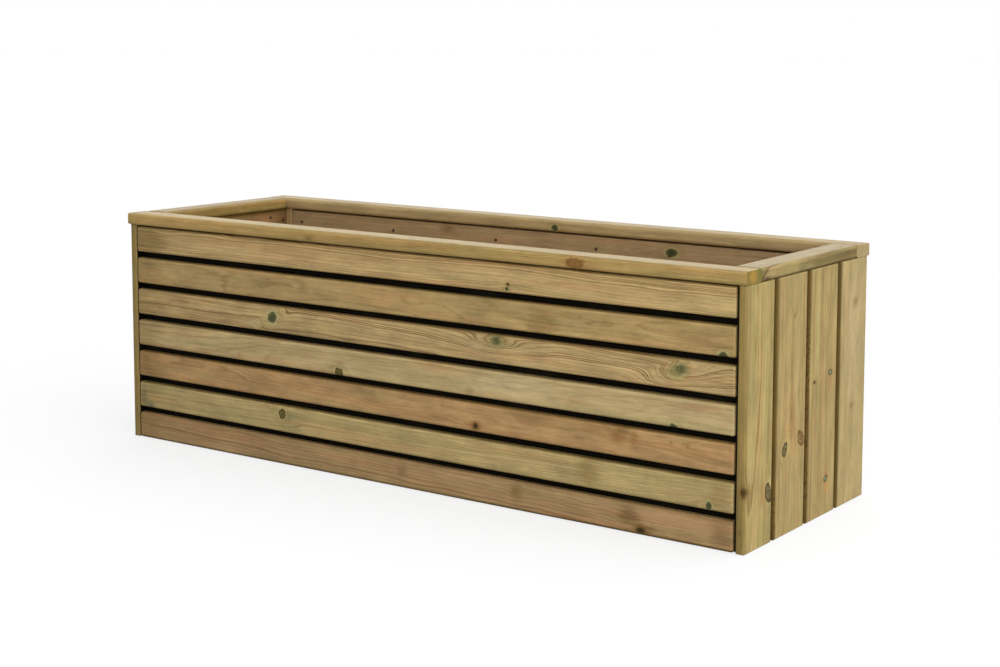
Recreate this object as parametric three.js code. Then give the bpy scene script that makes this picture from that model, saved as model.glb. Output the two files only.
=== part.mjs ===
// A slatted timber trough planter. Millimetres, +Z up, origin on the ground at the middle of the
// footprint. +X runs along the trough and -Y is its front.
//
// Each long wall is a panel: seven spaced slats outside, a black membrane behind them and a lining of
// boards inside, nailed together from the inside so that no fixing shows. Each short wall is four
// upright boards nailed to two cleats, with a membrane over their whole inner side that also runs
// between them and the ends of the slats. An upright batten in each corner joins the walls, a rim of
// four rails lies on top of them, and three base boards lie on the bottom cleats and on three bearers.

import * as THREE from 'three';

// ---- Driving dimensions ------------------------------------------------------------------------

// Rim: four rails laid flat, the long pair over the full length and the short pair between them.
const RIM_LENGTH = 1200;
const RIM_DEPTH = 390;
const RIM_OVERHANG = 5; // how far the long rails stand past the slats
const RAIL_WIDTH = 44;
const RAIL_THICKNESS = 20;
const RAIL_ARRIS = 6;
const RAIL_JOINT_GAP = 0.5;

// The end boards and the corner battens reach up to the rim.
const WALL_HEIGHT = 369;

// End walls: upright boards, set out from the back. The front one is ripped to what is left.
const END_BOARD_WIDTH = 96;
const END_BOARD_THICKNESS = 15;
const END_BOARD_GAP = 4;
const END_BOARD_COUNT = 4;
const BOARD_ARRIS = 5;

// Long walls: horizontal slats between the end boards, spread evenly from the ground up.
const SLAT_HEIGHT = 44;
const SLAT_THICKNESS = 15;
const SLAT_ARRIS = 4.5;
const SLAT_COUNT = 7;
const TOP_SLAT_GAP = 2.2; // between the top slat and the rim
const SLAT_LEFT_GAP = 0.3; // from the left end membrane
const SLAT_RIGHT_GAP = 2; // from the right one

// Membrane between the outer boards and what backs them.
const MEMBRANE_THICKNESS = 1;
const MEMBRANE_MARGIN = 2; // how far its edges stop short of the walls' outer faces
const MEMBRANE_CORNER_GAP = 0.3; // between the long and the end membranes

// Lining: boards laid from the ground up. The top one is ripped to what is left.
const LINING_WIDTH = 96;
const LINING_THICKNESS = 15;
const LINING_GAP = 2;
const LINING_COUNT = 4;
const LINING_TOP_GAP = 3; // between the lining and the rim
const LINING_END_GAP = 2;

// Corner battens, and the cleats and bearers, which are cut from one stock.
const BATTEN_WIDTH = 32;
const CLEAT_HEIGHT = 44;
const CLEAT_THICKNESS = 20;
const CLEAT_END_GAP = 0.5;
const BEARER_COUNT = 3;
const SAWN_ARRIS = 1.5;

// Base boards, spread evenly across the inside so that water drains between them.
const BASE_BOARD_WIDTH = 96;
const BASE_BOARD_THICKNESS = 15;
const BASE_BOARD_COUNT = 3;
const BASE_END_GAP = 1;

const ARRIS_FLATS = 6; // in each rounded edge

// ---- Places that follow from them --------------------------------------------------------------

const halfLength = RIM_LENGTH / 2; // outer face of the end boards
const endFaceX = halfLength - END_BOARD_THICKNESS; // their inner face
const endLinedX = endFaceX - MEMBRANE_THICKNESS; // where cleats and battens seat on the end membranes
const battenX = endLinedX - BATTEN_WIDTH; // inner side of the corner battens
const cleatX = endLinedX - CLEAT_THICKNESS; // inner face of the cleats
const halfDepth = RIM_DEPTH / 2 - RIM_OVERHANG; // outer face of the slats
const slatBackY = halfDepth - SLAT_THICKNESS;
const liningBackY = slatBackY - MEMBRANE_THICKNESS;
const insideY = liningBackY - LINING_THICKNESS; // inner face of the lining and the battens
const rimTop = WALL_HEIGHT + RAIL_THICKNESS;

// ---- Timber and membrane -----------------------------------------------------------------------

function timber(color) {
  return new THREE.MeshStandardMaterial({ color, roughness: 0.75, metalness: 0 });
}

const rimTimber = timber('#bda57a');
const slatTimber = timber('#9c8358');
const endTimber = timber('#b29c6a');
const innerTimber = timber('#8a7750');
const membraneSheet = new THREE.MeshStandardMaterial({ color: '#16150f', roughness: 0.8, metalness: 0 });

// ---- Boards ------------------------------------------------------------------------------------

// The section of a board, centred, with its four long edges eased to a quarter round.
function easedSection(width, height, arris) {
  const x = width / 2 - arris;
  const y = height / 2 - arris;
  const section = new THREE.Shape();
  section.moveTo(x + arris, -y);
  section.absarc(x, y, arris, 0, Math.PI / 2);
  section.absarc(-x, y, arris, Math.PI / 2, Math.PI);
  section.absarc(-x, -y, arris, Math.PI, 1.5 * Math.PI);
  section.absarc(x, -y, arris, 1.5 * Math.PI, 2 * Math.PI);
  return section;
}

// A board's section lies across its grain. For each grain direction: the two directions of the
// section, then the grain.
const lays = { x: ['y', 'z', 'x'], y: ['z', 'x', 'y'], z: ['x', 'y', 'z'] };
const directions = {
  x: new THREE.Vector3(1, 0, 0),
  y: new THREE.Vector3(0, 1, 0),
  z: new THREE.Vector3(0, 0, 1),
};

// Adds a board that fills the space between two planes on each axis: { x: [a, b], y: [a, b], z: [a, b] }.
function addBoard(group, name, span, grain, arris, material) {
  const [width, height, length] = lays[grain].map((axis) => Math.abs(span[axis][1] - span[axis][0]));
  const geometry = new THREE.ExtrudeGeometry(easedSection(width, height, arris), {
    depth: length,
    bevelEnabled: false,
    curveSegments: ARRIS_FLATS / 2, // an arc takes two flats for each segment
  });
  geometry.translate(0, 0, -length / 2);
  geometry.applyMatrix4(new THREE.Matrix4().makeBasis(...lays[grain].map((axis) => directions[axis])));
  const board = new THREE.Mesh(geometry, material);
  board.name = name;
  board.position.set(...['x', 'y', 'z'].map((axis) => (span[axis][0] + span[axis][1]) / 2));
  group.add(board);
}

// Adds a plain sheet in the same way.
function addSheet(group, name, span, material) {
  const size = ['x', 'y', 'z'].map((axis) => Math.abs(span[axis][1] - span[axis][0]));
  const sheet = new THREE.Mesh(new THREE.BoxGeometry(...size), material);
  sheet.name = name;
  sheet.position.set(...['x', 'y', 'z'].map((axis) => (span[axis][0] + span[axis][1]) / 2));
  group.add(sheet);
}

// ---- End walls: upright boards, membrane and two cleats ----------------------------------------

const ends = { left: -1, right: 1 };
const cleatSpanY = [-insideY + CLEAT_END_GAP, insideY - CLEAT_END_GAP];
const membraneSpanZ = [MEMBRANE_MARGIN, WALL_HEIGHT - MEMBRANE_MARGIN];
const endMembraneSpanY = [-halfDepth + MEMBRANE_MARGIN, halfDepth - MEMBRANE_MARGIN];
const cleatSpansZ = { top: [WALL_HEIGHT - CLEAT_HEIGHT, WALL_HEIGHT], bottom: [0, CLEAT_HEIGHT] };

// Boards are numbered from the front.
function endBoardSpanY(i) {
  const rear = halfDepth - (END_BOARD_COUNT - i) * (END_BOARD_WIDTH + END_BOARD_GAP);
  return [i === 1 ? -halfDepth : rear - END_BOARD_WIDTH, rear];
}

function endWall(end) {
  const out = ends[end];
  const wall = new THREE.Group();
  for (let i = 1; i <= END_BOARD_COUNT; i += 1) {
    const span = { x: [out * endFaceX, out * halfLength], y: endBoardSpanY(i), z: [0, WALL_HEIGHT] };
    addBoard(wall, `${end}_end_board_${i}`, span, 'z', BOARD_ARRIS, endTimber);
  }
  for (const [level, z] of Object.entries(cleatSpansZ)) {
    const span = { x: [out * cleatX, out * endLinedX], y: cleatSpanY, z };
    addBoard(wall, `${end}_${level}_cleat`, span, 'y', SAWN_ARRIS, innerTimber);
  }
  const membraneSpan = { x: [out * endLinedX, out * endFaceX], y: endMembraneSpanY, z: membraneSpanZ };
  addSheet(wall, `${end}_membrane`, membraneSpan, membraneSheet);
  return wall;
}

// ---- Long walls: slats, membrane, lining and corner battens ------------------------------------

const faces = { front: -1, back: 1 };
const slatPitch = (WALL_HEIGHT - TOP_SLAT_GAP - SLAT_HEIGHT) / (SLAT_COUNT - 1);
const slatSpanX = [-endLinedX + SLAT_LEFT_GAP, endLinedX - SLAT_RIGHT_GAP];
const membraneSpanX = [-endLinedX + MEMBRANE_CORNER_GAP, endLinedX - MEMBRANE_CORNER_GAP];
const liningSpanX = [-battenX + LINING_END_GAP, battenX - LINING_END_GAP];

// Slats and lining boards are numbered from the top.
function slatSpanZ(i) {
  const bottom = (SLAT_COUNT - i) * slatPitch;
  return [bottom, bottom + SLAT_HEIGHT];
}

function liningSpanZ(i) {
  const bottom = (LINING_COUNT - i) * (LINING_WIDTH + LINING_GAP);
  return [bottom, i === 1 ? WALL_HEIGHT - LINING_TOP_GAP : bottom + LINING_WIDTH];
}

function longWall(face) {
  const out = faces[face];
  const slatSpanY = [out * slatBackY, out * halfDepth];
  const membraneSpanY = [out * liningBackY, out * slatBackY];
  const liningSpanY = [out * insideY, out * liningBackY];
  const wall = new THREE.Group();
  for (let i = 1; i <= SLAT_COUNT; i += 1) {
    const span = { x: slatSpanX, y: slatSpanY, z: slatSpanZ(i) };
    addBoard(wall, `${face}_slat_${i}`, span, 'x', SLAT_ARRIS, slatTimber);
  }
  const membraneSpan = { x: membraneSpanX, y: membraneSpanY, z: membraneSpanZ };
  addSheet(wall, `${face}_membrane`, membraneSpan, membraneSheet);
  for (let i = 1; i <= LINING_COUNT; i += 1) {
    const span = { x: liningSpanX, y: liningSpanY, z: liningSpanZ(i) };
    addBoard(wall, `${face}_lining_board_${i}`, span, 'x', BOARD_ARRIS, innerTimber);
  }
  for (const [end, side] of Object.entries(ends)) {
    const span = { x: [side * battenX, side * endLinedX], y: liningSpanY, z: [0, WALL_HEIGHT] };
    addBoard(wall, `${face}_${end}_corner_batten`, span, 'z', SAWN_ARRIS, innerTimber);
  }
  return wall;
}

// ---- Base: bearers between the bottom cleats, and boards over all of them ----------------------

const bearerPitch = (2 * cleatX) / (BEARER_COUNT + 1);
const baseGap = (2 * insideY - BASE_BOARD_COUNT * BASE_BOARD_WIDTH) / (BASE_BOARD_COUNT + 1);

function base() {
  const floor = new THREE.Group();
  for (let i = 1; i <= BEARER_COUNT; i += 1) {
    const x = -cleatX + i * bearerPitch;
    const span = { x: [x - CLEAT_THICKNESS / 2, x + CLEAT_THICKNESS / 2], y: cleatSpanY, z: [0, CLEAT_HEIGHT] };
    addBoard(floor, `base_bearer_${i}`, span, 'y', SAWN_ARRIS, innerTimber);
  }
  for (let i = 1; i <= BASE_BOARD_COUNT; i += 1) {
    const front = -insideY + i * baseGap + (i - 1) * BASE_BOARD_WIDTH;
    const span = {
      x: [-endLinedX + BASE_END_GAP, endLinedX - BASE_END_GAP],
      y: [front, front + BASE_BOARD_WIDTH],
      z: [CLEAT_HEIGHT, CLEAT_HEIGHT + BASE_BOARD_THICKNESS],
    };
    addBoard(floor, `base_board_${i}`, span, 'x', BOARD_ARRIS, innerTimber);
  }
  return floor;
}

// ---- Rim: the long rails take the corners and the short rails butt against them ----------------

function rim() {
  const outerY = RIM_DEPTH / 2;
  const innerY = outerY - RAIL_WIDTH;
  const shortRailEnd = innerY - RAIL_JOINT_GAP;
  const frame = new THREE.Group();
  for (const [face, out] of Object.entries(faces)) {
    const span = { x: [-halfLength, halfLength], y: [out * innerY, out * outerY], z: [WALL_HEIGHT, rimTop] };
    addBoard(frame, `${face}_rim_rail`, span, 'x', RAIL_ARRIS, rimTimber);
  }
  for (const [end, out] of Object.entries(ends)) {
    const span = {
      x: [out * (halfLength - RAIL_WIDTH), out * halfLength],
      y: [-shortRailEnd, shortRailEnd],
      z: [WALL_HEIGHT, rimTop],
    };
    addBoard(frame, `${end}_rim_rail`, span, 'y', RAIL_ARRIS, rimTimber);
  }
  return frame;
}

const planter = new THREE.Group();
planter.add(longWall('front'), longWall('back'), endWall('left'), endWall('right'), base(), rim());

export default planter;
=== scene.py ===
"""Long slatted timber trough planter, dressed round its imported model."""

import math

import bpy
from mathutils import Matrix, Vector


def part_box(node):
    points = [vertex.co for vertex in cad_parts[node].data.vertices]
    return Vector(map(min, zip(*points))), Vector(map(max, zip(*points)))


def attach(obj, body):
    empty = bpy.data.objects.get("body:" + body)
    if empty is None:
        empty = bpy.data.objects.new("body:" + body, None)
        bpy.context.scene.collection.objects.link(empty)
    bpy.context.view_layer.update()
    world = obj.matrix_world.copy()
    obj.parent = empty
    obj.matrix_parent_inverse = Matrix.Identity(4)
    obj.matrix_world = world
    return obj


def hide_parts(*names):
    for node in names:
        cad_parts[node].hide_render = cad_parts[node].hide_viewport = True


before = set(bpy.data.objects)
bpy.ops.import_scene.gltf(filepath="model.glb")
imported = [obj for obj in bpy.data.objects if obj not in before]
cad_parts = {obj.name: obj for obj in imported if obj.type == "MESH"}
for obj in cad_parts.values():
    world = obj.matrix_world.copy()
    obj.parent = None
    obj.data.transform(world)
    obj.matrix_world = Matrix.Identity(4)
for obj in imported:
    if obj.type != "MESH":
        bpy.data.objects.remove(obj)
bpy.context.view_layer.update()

# ---- Camera -------------------------------------------------------------------------------------
# The photograph was taken from the front right, a little above the rim, with its upright edges kept
# upright. The place, aim and lens come from the photograph's edges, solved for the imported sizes.
LENS_MM = 62.67
SENSOR_MM = 36.0
CAMERA_AT = (1.69130, -2.22415, 0.71736)
CAMERA_RIGHT = Vector((0.82880, 0.55951, 0.00587))
CAMERA_AHEAD = Vector((-0.55615, 0.82488, -0.10139))
FRAME_SHIFT = (-0.0745, -0.1335)  # of the picture's width
NEAREST_SEEN = 0.05
FARTHEST_SEEN = 60.0

camera = bpy.data.objects.new("camera", bpy.data.cameras.new("camera"))
camera.data.lens = LENS_MM
camera.data.sensor_width = SENSOR_MM
camera.data.shift_x, camera.data.shift_y = FRAME_SHIFT
camera.data.clip_start = NEAREST_SEEN
camera.data.clip_end = FARTHEST_SEEN
ahead = CAMERA_AHEAD.normalized()
right = (CAMERA_RIGHT - CAMERA_RIGHT.dot(ahead) * ahead).normalized()
facing = Matrix((right, right.cross(ahead), -ahead)).transposed()
camera.matrix_world = Matrix.Translation(CAMERA_AT) @ facing.to_4x4()
bpy.context.scene.collection.objects.link(camera)
bpy.context.scene.camera = camera
bpy.context.scene.view_settings.view_transform = "Standard"


# ---- Studio -------------------------------------------------------------------------------------
# A white room with soft light: most of it from above and from the right, less from behind, a little
# from the front, and a panel at the front right whose light falls off towards the far end. The floor
# is a pale sheet that runs out to white and keeps the trough's soft shadow.
ROOM_LIGHT = 0.37
FLOOR_GREY = 0.30
FLOOR_PALE = 0.70
FLOOR_WHITE_SHARE = 0.75
FLOOR_REACH = 30.0
FLOOR_DROP = 0.0004
WHITE = (1.0, 1.0, 1.0, 1.0)
# name, the way the light travels, level on a face square to it, softness in degrees, colour
LAMPS = (
    ("overhead_light", (-0.25, -0.30, -1.0), 0.76, 75, (0.98, 0.99, 1.0)),
    ("right_light", (-1.0, 0.10, -0.35), 0.76, 60, (1.0, 1.0, 1.0)),
    ("front_light", (0.15, 1.0, -0.10), 0.20, 60, (1.0, 0.99, 0.97)),
    ("back_light", (0.6, -0.8, -0.15), 0.50, 60, (1.0, 1.0, 1.0)),
)
PANEL_AT = Vector((1.10, -1.60, 0.70))
PANEL_AIM = Vector((0.10, -0.19, 0.15))
PANEL_SIZE = 1.0
PANEL_WATTS = 12.6


class Reading:
    """A socket of a node tree. Sums on it add Math nodes to that tree; node() adds any other node."""

    def __init__(self, tree, socket=None):
        self.tree = tree
        self.socket = socket

    def node(self, kind, settings=None, sockets=None, output=0):
        made = self.tree.nodes.new(kind)
        for key, value in (settings or {}).items():
            if key == "stops":
                self.fit_stops(made.color_ramp, value)
            else:
                setattr(made, key, value)
        for key, value in (sockets or {}).items():
            socket = self.pick(made.inputs, key)
            if isinstance(value, Reading):
                self.tree.links.new(value.socket, socket)
            else:
                socket.default_value = value
        return Reading(self.tree, self.pick(made.outputs, output))

    def beside(self, output):
        """Another output of the node that this socket belongs to."""
        return Reading(self.tree, self.pick(self.socket.node.outputs, output))

    def feeds(self, kind="ShaderNodeOutputMaterial", key="Surface"):
        """Ends the tree with this socket."""
        end = self.tree.nodes.new(kind)
        self.tree.links.new(self.socket, self.pick(end.inputs, key))

    @staticmethod
    def pick(sockets, key):
        if isinstance(key, int):
            return sockets[key]
        return next(s for s in sockets if s.enabled and key in (s.name, s.identifier))

    @staticmethod
    def fit_stops(ramp, stops):
        while len(ramp.elements) > 2:
            ramp.elements.remove(ramp.elements[-1])
        while len(ramp.elements) < len(stops):
            ramp.elements.new(0.5)
        for element, (at, tone) in zip(ramp.elements, stops):
            element.position = at
            element.color = tone

    def maths(self, operation, *values):
        return self.node("ShaderNodeMath", {"operation": operation}, dict(enumerate(values)))

    def __add__(self, other):
        return self.maths("ADD", self, other)

    __radd__ = __add__

    def __sub__(self, other):
        return self.maths("SUBTRACT", self, other)

    def __rsub__(self, other):
        return self.maths("SUBTRACT", other, self)

    def __mul__(self, other):
        return self.maths("MULTIPLY", self, other)

    def __truediv__(self, other):
        return self.maths("DIVIDE", self, other)

    def __rtruediv__(self, other):
        return self.maths("DIVIDE", other, self)

    def least(self, other):
        return self.maths("MINIMUM", self, other)

    def most(self, other):
        return self.maths("MAXIMUM", self, other)

    def size(self):
        """This number without its sign."""
        return self.maths("ABSOLUTE", self)

    def past(self, other):
        """1 where this is more than other, else 0."""
        return self.maths("GREATER_THAN", self, other)

    def fade(self, start, end, low=0.0, high=1.0):
        """low up to start, high past end, and a smooth change between."""
        return self.node(
            "ShaderNodeMapRange",
            {"interpolation_type": "SMOOTHSTEP"},
            {"Value": self, "From Min": start, "From Max": end, "To Min": low, "To Max": high},
        )

    def moved(self, operation, other, output=0):
        """Vector Math with this vector."""
        sockets = {0: self} if other is None else {0: self, 1: other}
        return self.node("ShaderNodeVectorMath", {"operation": operation}, sockets, output)

    def length(self):
        return self.moved("LENGTH", None, "Value")

    def scaled(self, factor):
        sockets = {0: self, "Scale": factor}
        return self.node("ShaderNodeVectorMath", {"operation": "SCALE"}, sockets)

    def part(self, axis):
        """One number of this vector."""
        return self.node("ShaderNodeSeparateXYZ", None, {0: self}, axis)

    def blend(self, share, first, second, kind="MIX"):
        """The first colour with the second laid over it, share of the way."""
        settings = {"data_type": "RGBA", "blend_type": kind}
        return self.node("ShaderNodeMix", settings, {"Factor": share, "A": first, "B": second}, "Result")

    def mixed(self, share, other, kind="MIX"):
        """This colour with other laid over it, share of the way."""
        return self.blend(share, self, other, kind)


def new_material(name):
    """An empty material and the Reading that its nodes start from."""
    material = bpy.data.materials.new(name)
    material.use_nodes = True
    material.node_tree.nodes.clear()
    return material, Reading(material.node_tree)


def add_to_scene(thing):
    bpy.context.scene.collection.objects.link(thing)
    return thing


def background_rays(start):
    """1 for rays that show the room itself: the camera's, and those mirrored or seen through."""
    path = start.node("ShaderNodeLightPath", output="Is Camera Ray")
    return path.most(path.beside("Is Glossy Ray")).most(path.beside("Is Transmission Ray"))


world = bpy.data.worlds.new("white_room")
world.use_nodes = True
world.node_tree.nodes.clear()
start = Reading(world.node_tree)
strength = ROOM_LIGHT + background_rays(start) * (1.0 - ROOM_LIGHT)
room = start.node("ShaderNodeBackground", None, {"Color": WHITE, "Strength": strength})
room.feeds("ShaderNodeOutputWorld")
bpy.context.scene.world = world

for name, direction, level, softness, lamp_colour in LAMPS:
    lamp = bpy.data.lights.new(name, "SUN")
    lamp.energy = level * math.pi
    lamp.angle = math.radians(softness)
    lamp.color = lamp_colour
    holder = add_to_scene(bpy.data.objects.new(name, lamp))
    holder.rotation_euler = Vector(direction).to_track_quat("-Z", "Y").to_euler()

panel = bpy.data.lights.new("front_panel", "AREA")
panel.energy = PANEL_WATTS
panel.size = PANEL_SIZE
holder = add_to_scene(bpy.data.objects.new("front_panel", panel))
holder.location = PANEL_AT
holder.rotation_euler = (PANEL_AIM - PANEL_AT).to_track_quat("-Z", "Y").to_euler()

floor_material, start = new_material("pale_floor")
seen_directly = background_rays(start)
floor_tone = FLOOR_GREY + seen_directly * (FLOOR_PALE - FLOOR_GREY)
lit = start.node("ShaderNodeBsdfDiffuse", None, {"Color": floor_tone})
white = start.node("ShaderNodeEmission", None, {"Color": WHITE, "Strength": 1.0})
share = seen_directly * FLOOR_WHITE_SHARE
start.node("ShaderNodeMixShader", None, {0: share, 1: lit, 2: white}).feeds()

floor_mesh = bpy.data.meshes.new("floor")
quarters = ((-1, -1), (1, -1), (1, 1), (-1, 1))
corners = [(x * FLOOR_REACH, y * FLOOR_REACH, -FLOOR_DROP) for x, y in quarters]
floor_mesh.from_pydata(corners, [], [(0, 1, 2, 3)])
floor_mesh.materials.append(floor_material)
floor = add_to_scene(bpy.data.objects.new("floor", floor_mesh))


# ---- End boards ---------------------------------------------------------------------------------
# Four upright boards close each end. They are planed softwood, pressure treated to a yellow green,
# 96 by 15 mm, with rounded long arrises, and are nailed from inside to the two cleats.
MM = 1000.0
AXES = {
    "x": Vector((1, 0, 0)),
    "y": Vector((0, 1, 0)),
    "z": Vector((0, 0, 1)),
    "-x": Vector((-1, 0, 0)),
}


def colour(red, green, blue, alpha=1.0):
    """A colour as it looks on a screen, 0 to 255, for a socket."""
    linear = [
        v / 12.92 if v <= 0.04045 else ((v + 0.055) / 1.055) ** 2.4
        for v in (red / 255, green / 255, blue / 255)
    ]
    return (*linear, alpha)


def board_axes(grain, width):
    """The board's own axes in the room: along the grain, across its width, and through it."""
    along, across = AXES[grain], AXES[width]
    return Matrix((along, across, along.cross(across)))


# Knots, from the middle out. Each stop is its place, as a share of KNOT_REACH radii, then its colour
# and how much of the wood it covers, which is all of it if not given.
KNOT_REACH = 3.0
KNOT_STOPS = {
    "green": (
        (0.00, 58, 60, 36),
        (0.20, 68, 69, 42),
        (0.29, 86, 84, 50, 0.95),
        (0.34, 146, 142, 94, 0.85),
        (0.40, 162, 154, 104, 0.6),
        (0.50, 140, 124, 76, 0.35),
        (0.66, 126, 104, 58, 0.2),
        (1.00, 136, 114, 68, 0.0),
    ),
    "brown": (
        (0.00, 116, 80, 40),
        (0.14, 128, 92, 48),
        (0.30, 104, 72, 34, 0.95),
        (0.38, 116, 82, 42, 0.8),
        (0.50, 142, 104, 58, 0.5),
        (1.00, 146, 108, 62, 0.0),
    ),
    "halo": (
        (0.00, 112, 106, 64, 0.8),
        (0.15, 122, 116, 70, 0.75),
        (0.26, 146, 142, 92, 0.6),
        (0.33, 152, 146, 96, 0.4),
        (0.37, 122, 98, 48, 0.4),
        (0.45, 130, 104, 54, 0.2),
        (0.60, 140, 116, 66, 0.0),
    ),
    "core": (
        (0.00, 66, 68, 40, 0.9),
        (0.22, 84, 84, 52, 0.75),
        (0.42, 116, 110, 70, 0.35),
        (0.65, 130, 120, 76, 0.0),
    ),
    "teal": (
        (0.00, 138, 144, 112),
        (0.12, 122, 128, 98),
        (0.24, 58, 54, 30),
        (0.33, 72, 62, 32, 0.8),
        (0.42, 140, 112, 64, 0.45),
        (0.60, 150, 108, 62, 0.3),
        (1.00, 150, 112, 66, 0.0),
    ),
    "red": (
        (0.00, 130, 98, 56),
        (0.12, 96, 68, 32),
        (0.18, 136, 106, 62),
        (0.25, 108, 80, 40),
        (0.31, 66, 48, 16),
        (0.36, 116, 88, 44, 0.7),
        (0.42, 162, 136, 88, 0.4),
        (0.60, 150, 120, 72, 0.0),
    ),
    "dead": (
        (0.00, 98, 88, 48),
        (0.10, 70, 60, 28),
        (0.17, 112, 100, 58),
        (0.24, 90, 78, 40),
        (0.30, 50, 38, 8),
        (0.35, 68, 54, 26, 0.9),
        (0.40, 164, 148, 98, 0.5),
        (0.50, 158, 140, 90, 0.35),
        (0.70, 140, 112, 64, 0.2),
        (1.00, 140, 116, 70, 0.0),
    ),
    "dark": (
        (0.00, 46, 36, 12),
        (0.20, 60, 46, 18),
        (0.34, 78, 60, 26, 0.85),
        (0.50, 116, 84, 42, 0.55),
        (1.00, 136, 96, 50, 0.0),
    ),
    "faint": (
        (0.00, 120, 92, 50, 0.75),
        (0.30, 128, 102, 58, 0.6),
        (0.60, 138, 112, 66, 0.3),
        (1.00, 142, 118, 74, 0.0),
    ),
    "arc": (
        (0.000, 126, 100, 58, 0.0),
        (0.320, 96, 76, 40, 0.0),
        (0.333, 62, 46, 20, 0.95),
        (0.348, 92, 74, 36, 0.5),
        (0.385, 112, 96, 52, 0.0),
    ),
    "clear": (
        (0.00, 138, 122, 76, 0.95),
        (0.30, 138, 122, 76, 0.9),
        (0.55, 138, 122, 76, 0.0),
    ),
}
KNOTS = {
    kind: [(at, colour(*tone)) for at, *tone in stops] for kind, stops in KNOT_STOPS.items()
}
KNOT_OUTLINE = (0.8, 1.1)  # radii between which a knot's own rings end
KNOT_RING = 2.0  # mm
KNOT_RING_FADE = (0.3, 0.9, 1.06, 0.88)
KNOT_WOBBLE = 7.0  # mm, how ragged a knot's outline is
MOST_WOBBLE = 1.1  # the same in radii, for small knots
KNOT_SWEEP = 4.2  # how far along the grain a knot bends the rings, in its radii
KNOT_SQUEEZE = 0.75  # 1 over how far it bends them across the grain
KNOT_PUSH = 0.8  # how far it pushes them sideways
PUSH_FALL = (1.2, 0.3)  # the push is the first over the distance squared plus the second
SWELL_FALL = 0.6  # how fast the swelling falls off with the distance squared

# Noises: size in mm along, across and through the board, a number of its own, detail and roughness.
NOISES = {
    "slow": ((240.0, 60.0, 60.0), 1, 2.0, 0.5),
    "short": ((55.0, 13.0, 13.0), 2, 1.0, 0.5),
    "grit": ((7.0, 5.0, 5.0), 7, 2.0, 0.5),
    "fibre": ((17.0, 1.5, 1.5), 3, 3.0, 0.65),
    "streak": ((110.0, 4.0, 4.0), 4, 4.0, 0.62),
    "cloud": ((60.0, 26.0, 26.0), 5, 4.0, 0.6),
    "tint": ((260.0, 14.0, 14.0), 6, 2.0, 0.5),
}
SEED_STEP = (17.31, 7.77, 3.19)
NUMBER_STEP = (5.17, -3.3, 1.0)

# Rings: how dark the wood is through one year, how far slow and short waves bend the rings in mm,
# and how their spacing and strength wander.
RING_STOPS = ((0.0, 0.25), (0.10, 0.0), (0.50, 0.12), (0.76, 0.85), (0.90, 1.0), (1.0, 0.25))
WAVE_REACH = 8.0
RIPPLE_REACH = 2.0
WANDER_MM = 16.0
WANDER_YEARS = 2.4
STRENGTH_YEARS = 0.45
STRENGTH_FADE = (0.25, 0.75, 0.35, 1.0)
WANDER_SEED = 3.7
STRENGTH_SEED = 1.3

# Marks, painted edge shade and bark, in mm, and the colours that they and the treatment lay over the
# wood.
EDGE_MARK_DEPTH = 9.0
END_MARK_DEPTH = 3.0
STAIN_RAGGED = (0.9, 0.8)  # by streaks and by short waves
STAIN_FADE = (0.2, 1.2)
FACING_FADE = (0.3, 0.95)
TINT_FADE = (0.0, 0.2)
EDGE_RAGGED = 0.4
EDGE_CORE = 0.2
BARK_DEPTHS = (0.4, 1.4)  # shares of its depth between which it ends
BARK_ENDS = (15.0, 5.0)  # how far past and within its two ends it fades
BARK_GRAIN = (0.9, 0.5, 0.22)  # of streaks, of clouds and of nearness to the edge
BARK_FADE = (0.22, 0.36)
BARK_RIM = 0.3
BARK_COVER = 0.8
EDGE_PAINTED_SHADE = colour(76, 55, 4)
BARK_TINT = colour(62, 44, 14)
GREEN_TINT = colour(134, 128, 78)
PINK_TINT = colour(168, 118, 76)

# Surface: how far fibre, streaks and clouds lighten the wood, plainly and with its contrast, then
# the darker sawn end, the relief in mm, the gloss and the reflection.
FIBRE_LEVEL = (0.45, 0.2)
STREAK_LEVEL = (0.45, 0.4)
CLOUD_LEVEL = 7.0
END_CUT = (0.8, 0.1)
END_SHADE = 0.80
LATE_RELIEF = -0.05
FIBRE_RELIEF = 0.10
FIBRE_GLOSS = 0.25
LATE_GLOSS = 0.06
WOOD_SPECULAR = 0.12


def on_side(side, at, beside, length, width, halves):
    """Middle and scale of a mark on the board's face, on the edge that faces out, or on its far end."""
    half_length, half_width = halves
    if side == "face":
        return (at, beside, 0.0), (1.0 / length, 1.0 / width, 0.0)
    if side == "edge":
        return (at, -half_width, beside), (1.0 / length, 1.0 / EDGE_MARK_DEPTH, 1.0 / width)
    return (half_length, at, beside), (1.0 / END_MARK_DEPTH, 1.0 / length, 1.0 / width)


def noises(start, local, seed):
    """Each of NOISES at a place in the board's own mm, from -0.5 to 0.5."""
    made = []
    for size, number, detail, roughness in NOISES.values():
        shift = tuple(seed * a + number * b for a, b in zip(SEED_STEP, NUMBER_STEP))
        scale = tuple(1.0 / mm for mm in size)
        moving = {"Vector": local, "Location": shift, "Scale": scale}
        spot = start.node("ShaderNodeMapping", None, moving)
        sockets = {"Vector": spot, "Scale": 1.0, "Detail": detail, "Roughness": roughness}
        made.append(start.node("ShaderNodeTexNoise", None, sockets) - 0.5)
    return made


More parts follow.
